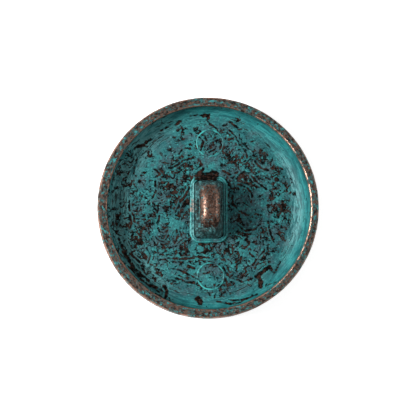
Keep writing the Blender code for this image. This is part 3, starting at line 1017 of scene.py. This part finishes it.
def patina_material():
    graph = Graph("verdigris_casting")
    zones = dish_zones(graph)
    depth = dish_bareness(graph, zones)
    colour = wall_colour(graph, zones, film(graph, zones.where))
    colour = ridge_colour(graph, zones, colour)
    # Painted shadow: the wall darkened just under the lip, most on the left.
    painted_lip_shadow = graph.times(graph.step(zones.radius, *LIP_SHADOW_RADII), graph.between(zones.left, 0.35, 0.75))
    colour = graph.mix(painted_lip_shadow, colour, WALL_PAINTED_LIP_SHADOW)
    height = graph.minus(graph.times(graph.noise(zones.where, 5.0, 4.0, 0.65), 0.5), depth)
    graph.shade(
        Base_Color=graph.mix(depth, colour, bare_metal(graph, zones.where)),
        Roughness=graph.between(depth, 0.46, 0.62),
        Specular_IOR_Level=graph.between(depth, 0.14, 0.03),
        Normal=graph.bump(height, 0.045),
    )
    return graph.material


def rubbed_and_lit_edges(graph, x, z, radius, pattern):
    """Where the rim is rubbed to copper: its inner and outer edge, and the high spots of the face. The inner
    edge is widened on the right and the outer edge is strongest on the left, the sides that face the key
    light: painted highlight on the rubbed copper.
    """
    overhang = graph.times(graph.minus(1.0, graph.math("DIVIDE", x, radius)), LIP_OVERHANG / 2)
    # Painted highlight: the inner edge widened on the right, where it faces the key light.
    wider_where_lit = graph.between(graph.step(x, *RIM_LIT_INNER_SIDE), 0.0, 0.03)
    inner = graph.step(graph.plus(radius, graph.minus(overhang, wider_where_lit)), *RIM_INNER_EDGE)
    # Painted highlight: the outer edge rubbed most on the left, where it faces the key light.
    rubbed_and_lit = graph.between(graph.step(x, *RIM_LIT_OUTER_SIDE), 0.35, 1.0)
    outer = graph.times(graph.step(radius, *RIM_OUTER_EDGE), rubbed_and_lit)
    rim = graph.times(graph.most(inner, outer), graph.step(z, *RIM_TOP))
    edge = graph.most(rim, graph.times(graph.step(z, *FACE_HIGH_SPOTS), 0.8))
    return graph.times(edge, graph.step(graph.noise(pattern, 0.4, 5.0, 0.7, 5.5), 0.40, 0.58))


def rim_material():
    graph = Graph("worn_rim_copper")
    where = graph.millimetres()
    x, _, z, flat, radius = graph.split(where)
    plain = graph.vector("SCALE", where, scale=3.4)
    stretched = graph.drawn_out(flat, radius, 2.8, 4.8)
    pattern = graph.blend("VECTOR", graph.step(z, *SIDE_TO_RIM), plain, stretched)
    brown = graph.mix(graph.step(graph.noise(pattern, 1.0, 5.0, 0.75), 0.42, 0.58), RIM_BLACK, RIM_BROWN)
    bright = graph.step(graph.noise(pattern, 0.7, 4.0, 0.7, 9.1), 0.48, 0.60)
    speckle = graph.step(graph.noise(pattern, 0.8, 5.0, 0.75, 3.3), 0.51, 0.56)
    colour = graph.mix(speckle, brown, graph.mix(bright, RIM_FILM_DARK, RIM_FILM))
    edge = rubbed_and_lit_edges(graph, x, z, radius, pattern)
    # Brighter copper on the right: painted highlight of the key light on the inner edge.
    copper = graph.mix(graph.step(x, *RIM_LIT_INNER_SIDE), RIM_COPPER, RIM_COPPER_PAINTED_HIGHLIGHT)
    graph.shade(
        Base_Color=graph.mix(edge, colour, copper),
        Metallic=graph.between(edge, 0.05, 0.90),
        Roughness=graph.between(edge, 0.55, 0.30),
        Specular_IOR_Level=0.12,
        Normal=graph.bump(graph.noise(where, 4.5, 4.0, 0.7), 0.05),
    )
    return graph.material


def crest_copper(graph, where, y):
    """The rubbed copper of the loop's crest, burnt brown towards its lower end."""
    tone = graph.step(graph.noise(where, 4.0, 5.0, 0.75, 4.0), 0.36, 0.62)
    copper = graph.mix(tone, CREST_DARK, CREST_COPPER)
    burnt = graph.step(graph.noise(where, 2.4, 4.0, 0.6, 7.3), 0.42, 0.52)
    burnt = graph.times(graph.step(y, *CREST_BURNT_Y), burnt, 0.85)
    return graph.mix(burnt, copper, CREST_BURNT)


def shank_material():
    graph = Graph("rubbed_shank_copper")
    where = graph.millimetres()
    _, y, z, _, _ = graph.split(where)
    close = graph.vector("MULTIPLY", where, (2.2, 2.2, 0.7))
    upright = graph.vector("MULTIPLY", where, (3.6, 3.0, 0.35))
    streaks = graph.step(graph.noise(upright, 1.2, 5.0, 0.75), 0.44, 0.56)
    # The eye mark paints the bore black: painted shade inside the hole.
    depth = graph.most(bare_marks(graph, close, 0.10), graph.mark("eye"))
    depth = graph.most(depth, graph.step(graph.noise(close, 1.9, 3.0, 0.6, 2.4), 0.58, 0.64))
    flank = graph.mix(streaks, FLANK_DARK, FLANK_PALE)
    flank = graph.mix(graph.times(depth, 0.85), flank, bare_metal(graph, where))
    ragged = graph.minus(graph.noise(where, 2.4, 5.0, 0.7), 0.5)
    rubbed = graph.step(graph.plus(graph.step(z, *CREST_RUBBED_Z), ragged), 0.42, 0.58)
    speck = graph.step(graph.noise(where, 3.4, 4.0, 0.65, 1.9), 0.55, 0.60)
    rubbed = graph.times(rubbed, graph.minus(1.0, speck))
    dents = graph.times(depth, graph.minus(1.0, rubbed))
    graph.shade(
        Base_Color=graph.mix(rubbed, flank, crest_copper(graph, where, y)),
        Metallic=graph.times(rubbed, 0.85),
        Roughness=graph.between(rubbed, 0.5, 0.38),
        # No reflection in the eye: part of its painted shade.
        Specular_IOR_Level=graph.between(graph.mark("eye"), 0.4, 0.0),
        Normal=graph.bump(graph.minus(graph.noise(where, 3.5, 2.0, 0.5), dents), 0.012),
    )
    return graph.material


def card_material():
    graph = Graph("pressed_card")
    where = graph.millimetres()
    fibres = graph.noise(graph.vector("MULTIPLY", where, (6.0, 1.2, 1.0)), 1.0, 5.0, 0.7)
    graph.shade(
        Base_Color=graph.mix(fibres, CARD_DARK, CARD_PALE),
        Roughness=0.95,
        Normal=graph.bump(fibres, 0.03),
    )
    return graph.material


# ---------------------------------------------------------------- stage


def make_floor():
    mesh = bpy.data.meshes.new("floor")
    side = FLOOR_HALF_SIDE
    corners = [(-side, -side, 0), (side, -side, 0), (side, side, 0), (-side, side, 0)]
    mesh.from_pydata(corners, [], [(0, 1, 2, 3)])
    graph = Graph("pale_floor")
    graph.shade(
        Base_Color=(0.86, 0.86, 0.86, 1.0),
        Roughness=0.9,
        Emission_Color=(1.0, 1.0, 1.0, 1.0),
        Emission_Strength=0.65,
    )
    mesh.materials.append(graph.material)
    floor = bpy.data.objects.new("floor", mesh)
    bpy.context.scene.collection.objects.link(floor)


def aim(item, place, target):
    """Puts a camera or a light at a place and points it at a target, with +Y on its upper side."""
    ahead = (Vector(target) - Vector(place)).normalized()
    side = ahead.cross(Vector((0, 1, 0))).normalized()
    turned = Matrix((side, side.cross(ahead), -ahead)).transposed().to_4x4()
    item.matrix_world = Matrix.Translation(place) @ turned


def add_softbox(name, place, size, power):
    lamp = bpy.data.lights.new(name, "AREA")
    lamp.shape = "DISK"
    lamp.size = size
    lamp.energy = power
    item = bpy.data.objects.new(name, lamp)
    bpy.context.scene.collection.objects.link(item)
    aim(item, place, (0, 0, LIGHT_TARGET_Z))


def add_camera():
    """Looks down on the back from a little to the left and below, through a long lens."""
    camera = bpy.data.cameras.new("camera")
    camera.sensor_width = 36
    camera.lens = 200
    frame_width = BUTTON_RADIUS * 2 * MM / BUTTON_SHARE_OF_FRAME
    distance = frame_width * camera.lens / camera.sensor_width
    target = Vector((0, 0, CAMERA_TARGET_Z))
    item = bpy.data.objects.new("camera", camera)
    bpy.context.scene.collection.objects.link(item)
    aim(item, target + Vector(CAMERA_LEAN).normalized() * distance, target)
    bpy.context.scene.camera = item


def light_stage():
    """An even white room, one large softbox on the left, half way up, and a weak one on the right."""
    world = bpy.data.worlds.new("studio")
    world.use_nodes = True
    background = world.node_tree.nodes["Background"]
    background.inputs["Color"].default_value = (1.0, 1.0, 1.0, 1.0)
    background.inputs["Strength"].default_value = 0.37
    bpy.context.scene.world = world
    add_softbox("key", (-0.21, 0.012, 0.20), 0.11, 1.39)
    add_softbox("fill", (0.22, 0.02, 0.13), 0.12, 0.17)
    bpy.context.scene.view_settings.view_transform = "Standard"


add_camera()
make_floor()
light_stage()
make_face_cap()
make_back_dish()
make_shank()
filler = frame["nodes"]["filler_disc"]
filler.data.materials.clear()
filler.data.materials.append(card_material())

bpy.context.view_layer.update()
